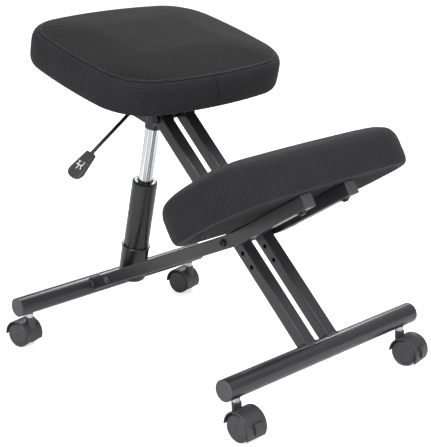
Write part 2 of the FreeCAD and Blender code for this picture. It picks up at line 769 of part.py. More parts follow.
def seat_parts():
    """Board and cushion of the seat."""
    frame = gas_frame.multiply(Placement(Vector(0, seat_offset, seat_underside), Rotation()))
    panel = board(seat_width - 2 * board_inset, seat_depth - 2 * board_inset, seat_corner - board_inset,
                  seat_side_radius, seat_side_radius)
    levels = cushion_levels(seat_edge_height, seat_crown, seat_depth * cushion_crown_share, seat_seam_drop,
                            seat_seam_inset, seat_shoulder_height, seat_shoulder_steps)
    pad = cushion(seat_width, seat_depth, levels, seat_corner, seat_side_radius, seat_side_radius).cut(panel)
    places = [(x, y - seat_offset) for x, y in seat_bolt_places()]
    save("seat_board", placed(drilled(panel, places), frame))
    save("seat_cushion", placed(pad, frame))
    save("seat_bolts", Part.makeCompound(board_bolts(places, frame, mount_plate_thickness, board_washer_diameter)))


def knee_parts():
    """Board and cushion of the knee pad."""
    panel = board(knee_width - 2 * board_inset, knee_depth - 2 * board_inset, knee_corner - board_inset,
                  knee_front_radius, knee_end_radius)
    levels = cushion_levels(knee_edge_height, knee_crown, knee_depth * cushion_crown_share, knee_seam_drop,
                            knee_seam_inset, 0.0, 0)
    pad = cushion(knee_width, knee_depth, levels, knee_corner, knee_front_radius, knee_end_radius).cut(panel)
    front, rear = knee_bolt_pair(-knee_bolt_before_middle), knee_bolt_pair(knee_screw_behind_middle)
    bolts = board_bolts(front, knee_frame, arm_size, board_washer_diameter)
    bolts += board_bolts(rear, knee_frame, arm_wall, board_bolt_head)
    save("knee_board", placed(drilled(panel, front + rear), knee_frame))
    save("knee_cushion", placed(pad, knee_frame))
    save("knee_bolts", Part.makeCompound(bolts))


def axle_centre():
    """Centre of the caster axle in the caster's own axes, with the stem at the origin."""
    return Vector(0, -caster_trail, wheel_radius)


def sector(outer, inner, first, last, x):
    """Part of a ring about the caster axle; angles are measured up from the far side."""
    def at(radius, degrees):
        angle = math.radians(degrees)
        return axle_centre() + Vector(0, -radius * math.cos(angle), radius * math.sin(angle))
    middle = (first + last) / 2.0
    edges = [Part.Arc(at(outer, first), at(outer, middle), at(outer, last)).toShape(),
             Part.LineSegment(at(outer, last), at(inner, last)).toShape(),
             Part.Arc(at(inner, last), at(inner, middle), at(inner, first)).toShape(),
             Part.LineSegment(at(inner, first), at(outer, first)).toShape()]
    face = Part.Face(Part.Wire(Part.__sortEdges__(edges)))
    face.translate(X_AXIS * x[0])
    return face.extrude(X_AXIS * (x[1] - x[0]))


def caster_hood(far_end, stem_end, braked):
    """Hood of a twin-wheel caster: curved cover, middle web with the axle hub, and the stem boss."""
    half = hood_width / 2.0
    web = hood_web / 2.0
    inner = hood_radius - hood_wall
    cover = sector(hood_radius, inner, far_end, stem_end, (-half, half))
    arcs = [e for e in cover.Edges if isinstance(e.Curve, Part.Circle)]
    rims = [e for e in arcs if e.Curve.Radius > inner + hood_wall / 2]
    cover = cover.makeFillet(hood_edge, rims)
    rib = across(inner + hood_wall / 2.0, (-web, web), axle_centre())
    rib = rib.common(box((-web, web), (-caster_trail - hood_radius, -caster_trail + hood_radius),
                         (hood_web_floor, boss_top)))
    hub = across(hood_hub / 2.0, (-web, web), axle_centre())
    boss = upright(boss_diameter / 2.0, wheel_radius, boss_top)
    clear = across(inner, (-half, half), axle_centre()).cut(across(inner, (-web, web), axle_centre()))
    shape = cover.fuse([rib, hub, boss.cut(clear)]).removeSplitter()
    if braked:
        shape = shape.fuse(brake_ears())
        shape = shape.cut(across(brake_pin / 2.0 + running_gap, (-half, half), brake_centre()))
    shape = shape.cut(across(axle_diameter / 2.0 + running_gap, (-half, half), axle_centre()))
    well = boss_top - stem_pin_depth - slide_gap
    return shape.cut(upright(stem_pin_diameter / 2.0 + running_gap, well, boss_top))


def brake_centre():
    """Centre of the brake lever's hub, outside the hood."""
    angle = math.radians(brake_angle)
    radius = hood_radius + brake_hub / 2.0 + slide_gap
    return axle_centre() + Vector(0, -radius * math.cos(angle), radius * math.sin(angle))


def brake_ears():
    """Two ears on the hood that carry the brake lever."""
    inner = brake_width / 2.0 + slide_gap
    ear = across(brake_hub / 2.0, (inner, inner + brake_ear), brake_centre())
    foot = sector(hood_radius + brake_ear_height, hood_radius - hood_wall / 2.0, brake_angle - brake_ear_angle,
                  brake_angle + brake_ear_angle, (inner, inner + brake_ear))
    ear = ear.fuse(foot).removeSplitter()
    return ear.fuse(ear.mirror(Vector(0, 0, 0), X_AXIS))


def caster_brake():
    """Brake lever: a hub on its pin and a short tread that hangs in front of the hood."""
    half = brake_width / 2.0
    hub = across(brake_hub / 2.0, (-half, half), brake_centre())
    reach = half + slide_gap + brake_ear
    pin = across(brake_pin / 2.0, (-reach, reach), brake_centre())
    span = math.degrees(brake_length / hood_radius)
    low = hood_radius + brake_tread_gap
    tread = sector(low + brake_thickness, low, brake_angle - span, brake_angle, (-half, half))
    return hub.fuse([pin, tread]).removeSplitter()


def caster_wheels():
    """The pair of wheels of a caster, each with a shallow dish in its outer face."""
    inner = wheel_gap / 2.0
    outer = inner + wheel_width
    dish = outer - wheel_dish
    bore = axle_diameter / 2.0
    points = [(bore, inner), (wheel_radius - wheel_edge, inner), (wheel_radius, inner + wheel_edge),
              (wheel_radius, outer - wheel_edge), (wheel_radius - wheel_edge, outer),
              (wheel_dish_radius + wheel_dish, outer), (wheel_dish_radius, dish), (bore, dish)]
    wheel = placed(revolved(points), Placement(axle_centre(), Rotation(Y_AXIS, 90)))
    return both_sides(wheel)


def caster_axle():
    """Axle pressed into both wheels."""
    return across(axle_diameter / 2.0, (-axle_length / 2, axle_length / 2), axle_centre())


def caster_stem():
    """Steel stem: pin in the hood, collar under the tube and shank in the tube."""
    pin = stem_pin_diameter / 2.0
    collar = stem_collar_diameter / 2.0
    shank = stem_shank_diameter / 2.0
    low = boss_top + slide_gap
    high = tube_underside - slide_gap
    return revolved([(0, boss_top - stem_pin_depth), (pin, boss_top - stem_pin_depth), (pin, low), (collar, low),
                     (collar, high), (shank, high), (shank, high + stem_shank_length), (0, high + stem_shank_length)])


def caster(name, x, y, turn, braked):
    """Write the pieces of one caster where it stands."""
    where = Placement(Vector(x, y, 0), Rotation(Z_AXIS, turn))
    ends = (rear_hood_far_angle, rear_hood_stem_angle)
    if braked:
        ends = (front_hood_far_angle, front_hood_stem_angle)
    save("caster_stem_" + name, placed(caster_stem(), where))
    save("caster_hood_" + name, placed(caster_hood(ends[0], ends[1], braked), where))
    save("caster_wheels_" + name, placed(caster_wheels(), where))
    save("caster_axle_" + name, placed(caster_axle(), where))
    if braked:
        save("caster_brake_" + name, placed(caster_brake(), where))


def frame_parts():
    """Base tubes, legs, arms and their plugs."""
    save("front_tube", base_tube(front_tube_centre))
    save("rear_tube", base_tube(rear_tube_centre))
    save("front_tube_plugs", both_sides(tube_plug(front_tube_centre)))
    save("rear_tube_plugs", both_sides(tube_plug(rear_tube_centre)))
    save("leg_left", leg(1))
    save("leg_right", leg(-1))
    save("leg_plugs", both_sides(square_plug([front_tube_centre, leg_top], leg_size, leg_wall,
                                             (leg_inner, leg_outer))))
    save("arm_left", arm(1))
    save("arm_right", arm(-1))
    save("arm_plugs", both_sides(square_plug(arm_path(), arm_size, arm_wall, (arm_inner, arm_outer))))


def pivot_parts():
    """Cross bolts, nuts, washers and spacers of the three pivots."""
    save("pivot_bolt", pivot_bolt())
    save("pivot_nut", hex_nut(pivot_bolt_diameter, nut_width, nut_height, arm_outer, main_pivot))
    washer = ring(washer_diameter, pivot_bolt_diameter, (leg_outer, arm_inner), main_pivot)
    save("pivot_washers", both_sides(washer))
    bore = pivot_bolt_diameter + 2 * running_gap
    save("pivot_spacer", ring(leg_spacer_diameter, bore, (-leg_inner, leg_inner), main_pivot))
    save("gas_pin", across(gas_pin_diameter / 2.0, (-arm_outer, arm_outer), gas_pivot))
    save("gas_pin_spacers", both_sides(ring(gas_spacer_diameter, gas_pin_diameter,
                                            (housing_diameter / 2.0 + slide_gap, arm_inner), gas_pivot)))
    end = leg_outer + seat_nut_height + bolt_past_nut
    bolt = across(seat_bolt_diameter / 2.0, (-leg_outer, end), seat_pivot)
    cap = hexagon(seat_nut_width, (-leg_outer - seat_nut_height, -leg_outer), seat_pivot)
    save("seat_pivot_bolt", bolt.fuse(cap))
    save("seat_pivot_nut", hex_nut(seat_bolt_diameter, seat_nut_width, seat_nut_height, leg_outer, seat_pivot))


def gas_parts():
    """Gas lift, seat bracket and release lever."""
    save("gas_housing", gas_housing())
    save("gas_outer_tube", gas_outer_tube())
    save("gas_guide_bush", gas_guide_bush())
    save("piston_rod", piston_rod())
    save("gas_column", gas_column())
    save("release_button", release_button())
    save("taper_socket", taper_socket())
    save("seat_bracket", seat_bracket())
    save("lever_clip", lever_clip())
    save("lever_pin", lever_pin())
    save("lever_rod", lever_rod())
    save("lever_handle", lever_handle())


def caster_parts():
    """The four casters."""
    reach = tube_length / 2.0 - caster_inset
    caster("front_right", -reach, front_tube_y, front_right_turn_angle, True)
    caster("front_left", reach, front_tube_y, front_left_turn_angle, True)
    caster("rear_right", -reach, rear_tube_y, rear_turn_angle, False)
    caster("rear_left", reach, rear_tube_y, rear_turn_angle, False)


os.makedirs("parts", exist_ok=True)
frame_parts()
pivot_parts()
gas_parts()
seat_parts()
knee_parts()
caster_parts()
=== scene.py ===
import math

import bmesh
import bpy
from mathutils import Matrix, Vector


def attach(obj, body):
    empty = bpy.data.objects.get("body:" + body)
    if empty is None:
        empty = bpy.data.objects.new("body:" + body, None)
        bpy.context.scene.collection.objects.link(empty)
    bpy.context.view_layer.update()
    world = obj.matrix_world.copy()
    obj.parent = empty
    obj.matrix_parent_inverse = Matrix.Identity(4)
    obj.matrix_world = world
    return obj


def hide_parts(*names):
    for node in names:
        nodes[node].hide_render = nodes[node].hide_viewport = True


# Kneeling chair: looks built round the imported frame. Metres, +Z up, the knee pad is on the -Y side.

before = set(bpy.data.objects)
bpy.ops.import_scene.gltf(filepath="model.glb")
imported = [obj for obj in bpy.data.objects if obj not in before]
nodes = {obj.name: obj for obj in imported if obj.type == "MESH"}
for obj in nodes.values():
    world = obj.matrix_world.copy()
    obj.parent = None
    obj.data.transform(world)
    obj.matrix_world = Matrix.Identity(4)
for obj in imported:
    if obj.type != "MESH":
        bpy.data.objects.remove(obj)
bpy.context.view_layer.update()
print("frame loaded:", len(nodes), "nodes")

mm = 0.001
gasPin = Vector((0.0, 0.228539, 0.11529))    # the gas lift leans back on this pin
gasLean = math.radians(16)
gasFrame = Matrix.Translation(gasPin) @ Matrix.Rotation(gasLean, 4, "X")
# middles of the round tubes and of the main pivot, in millimetres
rearTube = Vector((0, 293.0, 88.0))
frontTube = Vector((0, -292.0, 88.0))
mainPivot = Vector((0, -118.0, 262.0))


# helpers for objects and their meshes

def deselectAll():
    if bpy.context.object and bpy.context.object.mode != "OBJECT":
        bpy.ops.object.mode_set(mode="OBJECT")
    bpy.ops.object.select_all(action="DESELECT")


def pick(piece):
    deselectAll()
    piece.select_set(True)
    bpy.context.view_layer.objects.active = piece
    return piece


def added(name):    # names what the last operator made
    piece = bpy.context.object
    piece.name = name
    piece.data.name = name
    return piece


def linked(name, data):    # an object for data that is already made
    piece = bpy.data.objects.new(name, data)
    bpy.context.collection.objects.link(piece)
    return piece


def applyModifiers(piece):
    pick(piece)
    for modifier in list(piece.modifiers):
        bpy.ops.object.modifier_apply(modifier=modifier.name)


def settle(piece, place=None):    # moves the object's place into its mesh, so its origin is the frame's
    if place is not None:
        piece.matrix_world = place @ piece.matrix_world
    pick(piece)
    bpy.ops.object.transform_apply(location=True, rotation=True, scale=True)
    return piece


def copied(piece, name, place):    # a copy with its own mesh, moved by a matrix
    twin = linked(name, piece.data.copy())
    twin.data.name = name
    twin.data.transform(place)
    return twin


def joined(pieces, name):
    deselectAll()
    for piece in pieces:
        piece.select_set(True)
    bpy.context.view_layer.objects.active = pieces[0]
    bpy.ops.object.join()
    return added(name)


def outwards(piece):    # merges doubles and turns every face outwards
    pick(piece)
    bpy.ops.object.mode_set(mode="EDIT")
    bpy.ops.mesh.select_all(action="SELECT")
    bpy.ops.mesh.remove_doubles(threshold=1e-6)
    bpy.ops.mesh.normals_make_consistent(inside=False)
    bpy.ops.object.mode_set(mode="OBJECT")
    return piece


def dress(piece, material):
    piece.data.materials.clear()
    piece.data.materials.append(material)


def smoothed(piece, degrees):
    pick(piece)
    bpy.ops.object.shade_smooth_by_angle(angle=math.radians(degrees))


def finished(piece, material, body, smooth=35):
    dress(piece, material)
    smoothed(piece, smooth)
    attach(piece, body)
    return piece


# helpers for materials

def linearColour(hexText):    # sRGB hex, as a designer picks it, to the linear values that the shader wants
    channels = [int(hexText[k:k + 2], 16) / 255 for k in (0, 2, 4)]
    return tuple(c / 12.92 if c <= 0.04045 else ((c + 0.055) / 1.055) ** 2.4 for c in channels) + (1.0,)


def addNode(tree, kind, settings=None, links=None):    # settings are attributes of the node or values of its inputs
    node = tree.nodes.new("ShaderNode" + kind)
    for name, value in (settings or {}).items():
        if isinstance(name, str) and hasattr(node, name):
            setattr(node, name, value)
        else:
            node.inputs[name].default_value = value
    for name, socket in (links or {}).items():
        tree.links.new(socket, node.inputs[name])
    return node


def newMaterial(name, colour, roughness, metallic=0.0, ior=None, extra=None):
    material = bpy.data.materials.new(name)
    material.use_nodes = True
    shader = material.node_tree.nodes["Principled BSDF"]
    values = {"Base Color": linearColour(colour), "Roughness": roughness, "Metallic": metallic, **(extra or {})}
    if ior:
        values["IOR"] = ior
    for socket, value in values.items():
        shader.inputs[socket].default_value = value
    return material, material.node_tree, shader


def relief(tree, shader, height, depth, strength):    # bumps from a height socket
    bump = addNode(tree, "Bump", {"Strength": strength, "Distance": depth}, {"Height": height})
    tree.links.new(bump.outputs["Normal"], shader.inputs["Normal"])


def between(tree, factor, dark, light):    # a colour between two close shades of one finish
    mix = addNode(tree, "Mix", {"data_type": "RGBA", 6: linearColour(dark), 7: linearColour(light)}, {0: factor})
    return mix.outputs[2]


def varyColour(tree, shader, factor, dark, light):
    tree.links.new(between(tree, factor, dark, light), shader.inputs["Base Color"])


driftSpan = {"From Min": 0.35, "From Max": 0.65}    # where most of a noise lies


def varyRoughness(tree, shader, place, patch, low, high):    # handling and dust: roughness drifts over the surface
    drift = addNode(tree, "TexNoise", {"Scale": 1 / patch, "Detail": 3.0}, {"Vector": place.outputs["Object"]})
    span = addNode(tree, "MapRange", {**driftSpan, "To Min": low, "To Max": high}, {"Value": drift.outputs["Fac"]})
    tree.links.new(span.outputs["Result"], shader.inputs["Roughness"])
    return drift


# Plain finishes. dark and light are sRGB shades, grain and depth the fine relief, and patch is how far apart
# roughness and shade drift. Without a patch the shade follows the grain.
finishes = {
    "powderCoatedSteel": {    # satin black epoxy powder, baked on: soft broad highlights and orange peel
        "dark": "242426", "light": "28282a", "ior": 1.5,
        "grain": 1.6 * mm, "depth": 0.05 * mm, "strength": 0.2, "patch": 45 * mm, "rough": (0.28, 0.33),
    },
    "mouldedNylon": {    # black polyamide from a spark-eroded mould: even and slightly dull
        "dark": "29292b", "light": "323234", "ior": 1.53,
        "grain": 0.9 * mm, "depth": 0.06 * mm, "strength": 0.6, "patch": 18 * mm, "rough": (0.42, 0.56),
    },
    "mouldedWheelNylon": {    # harder, greyer nylon of the wheels, scuffed by the floor
        "dark": "2b2b2d", "light": "373739", "ior": 1.53,
        "grain": 0.7 * mm, "depth": 0.05 * mm, "strength": 0.5, "patch": 9 * mm, "rough": (0.42, 0.62),
    },
    "mouldedPolyethylene": {    # matt plugs of the tube ends
        "dark": "3a3a3c", "light": "424244", "ior": 1.51,
        "grain": 1.1 * mm, "depth": 0.06 * mm, "strength": 0.5, "patch": 16 * mm, "rough": (0.48, 0.62),
    },
    "mouldedPolypropylene": {    # semi-gloss black shroud and housing of the gas lift
        "dark": "131315", "light": "19191b", "ior": 1.49,
        "grain": 1.4 * mm, "depth": 0.03 * mm, "strength": 0.35, "patch": 30 * mm, "rough": (0.24, 0.36),
    },
    "zincPlatedSteel": {    # bright zinc of the caster stems and the pins
        "dark": "a9adb2", "light": "c8cbce", "metallic": 1.0,
        "grain": 0.8 * mm, "depth": 0.02 * mm, "strength": 0.3, "patch": 6 * mm, "rough": (0.2, 0.38),
    },
    "blackOxidedSteel": {    # oiled black oxide on the bolts, the nuts and the lever's rod
        "dark": "232426", "light": "34363a", "metallic": 0.7,
        "grain": 0.6 * mm, "depth": 0.02 * mm, "strength": 0.35, "patch": 5 * mm, "rough": (0.3, 0.46),
    },
    "bondedPolyesterThread": {    # sewing thread, a little shinier than the mesh
        "dark": "303032", "light": "303032", "ior": 1.58,
        "grain": 0.3 * mm, "depth": 0.03 * mm, "strength": 0.6, "rough": (0.5, 0.5),
    },
    "powderCoatedWeld": {    # weld under the same powder, rounder and glossier than the flat tube
        "dark": "222224", "light": "38383a", "ior": 1.5,
        "grain": 0.9 * mm, "depth": 0.06 * mm, "strength": 0.4, "rough": (0.16, 0.16),
    },
    "whitePadPrint": {    # white ink printed on the handle
        "dark": "dcdcda", "light": "efefed", "ior": 1.5,
        "grain": 0.5 * mm, "depth": 0.02 * mm, "strength": 0.3, "rough": (0.5, 0.5),
    },
}


def plainFinish(name):
    values = finishes[name]
    low, high = values["rough"]
    material, tree, shader = newMaterial(name, values["dark"], low, values.get("metallic", 0.0), values.get("ior"))
    place = addNode(tree, "TexCoord")
    shade = addNode(tree, "TexNoise", {"Scale": 1 / values["grain"], "Detail": 2.0, "Roughness": 0.55},
                    {"Vector": place.outputs["Object"]})
    relief(tree, shader, shade.outputs["Fac"], values["depth"], values["strength"])
    if "patch" in values:
        shade = varyRoughness(tree, shader, place, values["patch"], low, high)
    varyColour(tree, shader, shade.outputs["Fac"], values["dark"], values["light"])
    return material


chromeColumn = {
    "dark": "7d7f82",    # hard chrome; its dark and light shades are painted reflection bands of the studio, running along its length
    "light": "eef0f2",
    "reflectionBand": 3.4 * mm,    # width of a painted reflection band
    "reflectionBandLength": 400 * mm,
    "contrast": {"From Min": 0.36, "From Max": 0.64},
    "depth": 0.03 * mm,
    "strength": 0.2,
    "roughLight": 0.12,
    "roughDark": 0.24,
}


def hardChrome():    # painted reflection: long light and dark bands down a bright column
    values = chromeColumn
    material, tree, shader = newMaterial("hardChromedSteel", values["light"], values["roughLight"], metallic=1.0)
    place = addNode(tree, "TexCoord")
    upright = addNode(tree, "Mapping", {"Rotation": (-gasLean, 0, 0)}, {"Vector": place.outputs["Object"]})
    stretch = addNode(tree, "Mapping", {"Scale": (1 / values["reflectionBand"], 1 / values["reflectionBand"],
                                                  1 / values["reflectionBandLength"])},
                      {"Vector": upright.outputs["Vector"]})
    paintedBands = addNode(tree, "TexNoise", {"Scale": 1.0, "Detail": 2.5, "Roughness": 0.6},
                    {"Vector": stretch.outputs["Vector"]})
    bandTone = addNode(tree, "MapRange", values["contrast"], {"Value": paintedBands.outputs["Fac"]})
    varyColour(tree, shader, bandTone.outputs["Result"], values["dark"], values["light"])
    relief(tree, shader, paintedBands.outputs["Fac"], values["depth"], values["strength"])
    span = addNode(tree, "MapRange", {"To Min": values["roughDark"], "To Max": values["roughLight"]},
                   {"Value": bandTone.outputs["Result"]})
    tree.links.new(span.outputs["Result"], shader.inputs["Roughness"])
    return material


def latticeDistance(tree, place, pitch):    # distance to the nearest point of a hexagonal lattice, in pitches
    found = []
    for shift in ((0.0, 0.0, 0.0), (0.5, 0.5, 0.0)):
        scaled = addNode(tree, "Mapping", {"Scale": (1 / pitch, 1 / (pitch * math.sqrt(3)), 0.0), "Location": shift},
                         {"Vector": place})
        share = addNode(tree, "VectorMath", {"operation": "FRACTION"}, {0: scaled.outputs["Vector"]})
        centred = addNode(tree, "VectorMath", {"operation": "SUBTRACT", 1: (0.5, 0.5, 0.0)},
                          {0: share.outputs["Vector"]})
        even = addNode(tree, "VectorMath", {"operation": "MULTIPLY", 1: (1.0, math.sqrt(3), 0.0)},
                       {0: centred.outputs["Vector"]})
        length = addNode(tree, "VectorMath", {"operation": "LENGTH"}, {0: even.outputs["Vector"]})
        found.append(length.outputs["Value"])
    nearest = addNode(tree, "Math", {"operation": "MINIMUM"}, {0: found[0], 1: found[1]})
    return nearest.outputs["Value"]


airMesh = {
    "yarn": "2b2b2d",    # polyester spacer mesh: black yarn round small open cells
    "topYarn": "111113",
    "cell": "040405",
    "pitch": 4.2 * mm,    # cells of the border and the knee pad, across
    "topPitch": 2.2 * mm,    # the seat's top is knitted closer
    "cellEdge": (0.198, 0.45),    # where the open cell ends and the full yarn starts, shares of the pitch
    "depth": 0.5 * mm,
    "strength": 0.8,
    "fuzz": 0.45 * mm,    # loose fibres
    "fuzzShade": 0.35,
    "fuzzHeight": 0.2,
    "wear": 60 * mm,
    "wearShade": 0.3,
    "seamAround": 0.5 * mm,    # joining seam of the seat's border, counted round from the middle of the front
    "seamLean": 0.26,
    "seamHalf": (0.28 * mm, 1.4 * mm),    # the fold's deepest part and its whole half width
}


def spacerMesh(name, yarnColour, pitch, depth, seamAround=None):    # knitted mesh, laid by the piece's UV map
    material, tree, shader = newMaterial(name, yarnColour, 0.9, ior=1.46,
                                         extra={"Sheen Weight": 0.04, "Sheen Roughness": 0.45,
                                                "Specular IOR Level": 0.2})
    place = addNode(tree, "UVMap", {"uv_map": "panel"}).outputs["UV"]
    cellEnd, yarnStart = airMesh["cellEdge"]
    cover = addNode(tree, "MapRange", {"From Min": cellEnd, "From Max": yarnStart,
                                       "interpolation_type": "SMOOTHSTEP"},
                    {"Value": latticeDistance(tree, place, pitch)}).outputs["Result"]
    if seamAround is not None:    # two panels meet here: a narrow closed fold, sunk in the relief and darkened to the open cells' colour as painted shade in the fold
        split = addNode(tree, "SeparateXYZ", {}, {"Vector": place})
        lean = addNode(tree, "Math", {"operation": "MULTIPLY_ADD", 1: airMesh["seamLean"]},
                       {0: split.outputs["Y"], 2: split.outputs["X"]})
        away = addNode(tree, "Math", {"operation": "SUBTRACT", 1: seamAround}, {0: lean.outputs["Value"]})
        size = addNode(tree, "Math", {"operation": "ABSOLUTE"}, {0: away.outputs["Value"]})
        deepest, half = airMesh["seamHalf"]
        foldReliefAndShade = addNode(tree, "MapRange", {"From Min": deepest, "From Max": half, "interpolation_type": "SMOOTHSTEP"},
                       {"Value": size.outputs["Value"]})
        both = addNode(tree, "Math", {"operation": "MULTIPLY"}, {0: cover, 1: foldReliefAndShade.outputs["Result"]})
        cover = both.outputs["Value"]
    fuzz = addNode(tree, "TexNoise", {"Scale": 1 / airMesh["fuzz"], "Detail": 3.0}, {"Vector": place})
    wear = addNode(tree, "TexNoise", {"Scale": 1 / airMesh["wear"], "Detail": 2.0}, {"Vector": place})
    fluffy = addNode(tree, "Mix", {"data_type": "RGBA", "blend_type": "OVERLAY", 0: airMesh["fuzzShade"]},
                     {6: between(tree, cover, airMesh["cell"], yarnColour), 7: fuzz.outputs["Fac"]})
    worn = addNode(tree, "Mix", {"data_type": "RGBA", "blend_type": "SOFT_LIGHT", 0: airMesh["wearShade"]},
                   {6: fluffy.outputs[2], 7: wear.outputs["Fac"]})
    tree.links.new(worn.outputs[2], shader.inputs["Base Color"])
    height = addNode(tree, "Math", {"operation": "MULTIPLY_ADD", 1: airMesh["fuzzHeight"]},
                     {0: fuzz.outputs["Fac"], 2: cover})
    relief(tree, shader, height.outputs["Value"], depth, airMesh["strength"])
    return material


dustCloth = {
    "dark": "262628",    # thin spunbond cover under the cushions, pressed with small bond points
    "light": "333335",
    "pitch": 2.2 * mm,
    "pointEdge": {"From Min": 0.18, "From Max": 0.34},
    "fibre": 1.2 * mm,
    "fibreHeight": 0.5,
    "depth": 0.15 * mm,
    "strength": 0.5,
}


def spunbondCloth():
    values = dustCloth
    material, tree, shader = newMaterial("spunbondPolypropylene", values["dark"], 0.85, ior=1.49,
                                         extra={"Sheen Weight": 0.03, "Specular IOR Level": 0.25})
    place = addNode(tree, "TexCoord").outputs["Object"]
    point = addNode(tree, "MapRange", values["pointEdge"], {"Value": latticeDistance(tree, place, values["pitch"])})
    fibres = addNode(tree, "TexNoise", {"Scale": 1 / values["fibre"], "Detail": 5.0, "Roughness": 0.7},
                     {"Vector": place})
    varyColour(tree, shader, fibres.outputs["Fac"], values["dark"], values["light"])
    height = addNode(tree, "Math", {"operation": "MULTIPLY_ADD", 1: values["fibreHeight"]},
                     {0: fibres.outputs["Fac"], 2: point.outputs["Result"]})
    relief(tree, shader, height.outputs["Value"], values["depth"], values["strength"])
    return material


made = {name: plainFinish(name) for name in finishes}
coat, nylon, tread = made["powderCoatedSteel"], made["mouldedNylon"], made["mouldedWheelNylon"]
plug, gasPlastic = made["mouldedPolyethylene"], made["mouldedPolypropylene"]
zinc, oxide = made["zincPlatedSteel"], made["blackOxidedSteel"]
chrome = hardChrome()
spunbond = spunbondCloth()
borderMesh = spacerMesh("knittedAirMeshBorder", airMesh["yarn"], airMesh["pitch"], airMesh["depth"],
                        airMesh["seamAround"])
topMesh = spacerMesh("knittedAirMeshTop", airMesh["topYarn"], airMesh["topPitch"], 0.5 * airMesh["depth"])
kneeMesh = spacerMesh("knittedAirMeshKnee", airMesh["yarn"], airMesh["pitch"], airMesh["depth"])
print("materials made")


# finishes of the nodes that keep their CAD shape

nodeFinish = {
    "rear_tube": coat, "front_tube": coat, "arm_left": coat, "arm_right": coat, "leg_left": coat, "leg_right": coat,
    "seat_bracket": coat, "taper_socket": coat, "lever_clip": coat, "gas_pin_spacers": coat, "pivot_spacer": coat,
    "rear_tube_plugs": plug, "front_tube_plugs": plug, "arm_plugs": plug, "leg_plugs": plug,
    "gas_housing": gasPlastic, "gas_outer_tube": gasPlastic, "gas_guide_bush": gasPlastic, "lever_handle": nylon,
    "gas_column": chrome, "piston_rod": chrome, "release_button": zinc, "lever_rod": oxide, "lever_pin": zinc,
    "pivot_bolt": oxide, "pivot_nut": oxide, "pivot_washers": zinc, "seat_pivot_bolt": oxide, "seat_pivot_nut": oxide,
    "seat_bolts": oxide, "knee_bolts": oxide, "gas_pin": zinc, "seat_board": spunbond, "knee_board": spunbond,
}
casterFinish = {"stem": zinc, "wheels": tread, "axle": tread, "hood": nylon, "brake": nylon}    # axle ends are capped
for name, node in nodes.items():
    if name in nodeFinish:
        dress(node, nodeFinish[name])
    for word, finish in casterFinish.items():
        if "caster_" + word in name:
            dress(node, finish)
    smoothed(node, 30)
print("nodes dressed")


# cushions: panels on the pad's outline, blown up as cloth

armBend = mainPivot * mm + (mainPivot - rearTube).normalized() * 21.5 * mm    # the arms bend up here
kneeLean = math.radians(30)
kneeRun = Vector((0, -math.cos(kneeLean), math.sin(kneeLean)))
kneeUp = Vector((0, math.sin(kneeLean), math.cos(kneeLean)))
kneeFoot = armBend + kneeRun * 116 * mm + kneeUp * 12.5 * mm
# side and top hold (height, inset) of the side from the foot up to the seam, then of the top panel, in millimetres
cushionShape = {
    "seat": {
        "body": "seat_unit", "node": "seat_cushion",
        "size": (430 * mm, 360 * mm), "sideRadii": (900 * mm, 900 * mm), "corner": 95 * mm,
        "place": gasFrame @ Matrix.Translation((0.0, 16 * mm, 431 * mm)),
        "side": ((0, 9), (2, 4.6), (6, 1.8), (12, 0.4), (20, 0), (29, 0), (38, 0), (46, 0.2), (52, 1.4),
                 (57, 4.4), (60, 7.4), (61.8, 10.4)),
        "top": ((62.6, 12), (63.6, 14), (64.8, 17), (66.4, 22), (68, 28), (69.4, 36), (70.6, 46)),
        "middle": 73.0,    # height of the top's middle
        "unrolled": 0,    # levels of the top that are mapped with the border
        "cap": 5 * mm,    # how far the cloth may move
        "start": 0.0,    # how far inside the cloth starts
        "mesh": borderMesh,
    },
    "knee": {
        "body": "rear_base", "node": "knee_cushion",
        "size": (478 * mm, 242 * mm), "sideRadii": (2500 * mm, 620 * mm), "corner": 90 * mm,
        "place": Matrix.Translation(kneeFoot) @ Matrix.Rotation(-kneeLean, 4, "X"),
        "side": ((0, 9), (2, 4.6), (6, 1.8), (12, 0.4), (20, 0), (30, 0), (40, 0), (49, 0.6), (56, 2.0)),
        "top": ((62.5, 4.6), (69, 8.8), (74, 14), (78, 21), (81, 30), (83.2, 41), (84.8, 54)),
        "middle": 87.0,
        "unrolled": 3,
        "cap": 6 * mm,
        "start": 0.5 * mm,
        "mesh": kneeMesh,
    },
}
clothSim = {"pressure": 5.0, "frames": 20, "quality": 5, "mass": 0.3, "stiffness": 15, "bending": 0.5}
seamHeight = {"line": -1.2 * mm, "beside": 0.5 * mm}    # the sewn line sinks, the cloth beside it stands proud
perSide = 60    # steps of the cushion's grid along each side
topInside, footInside = 100, -1    # kinds of the vertices inside the panels; on the rings it is the level
domePower = 1.5    # how full the middle of the top is


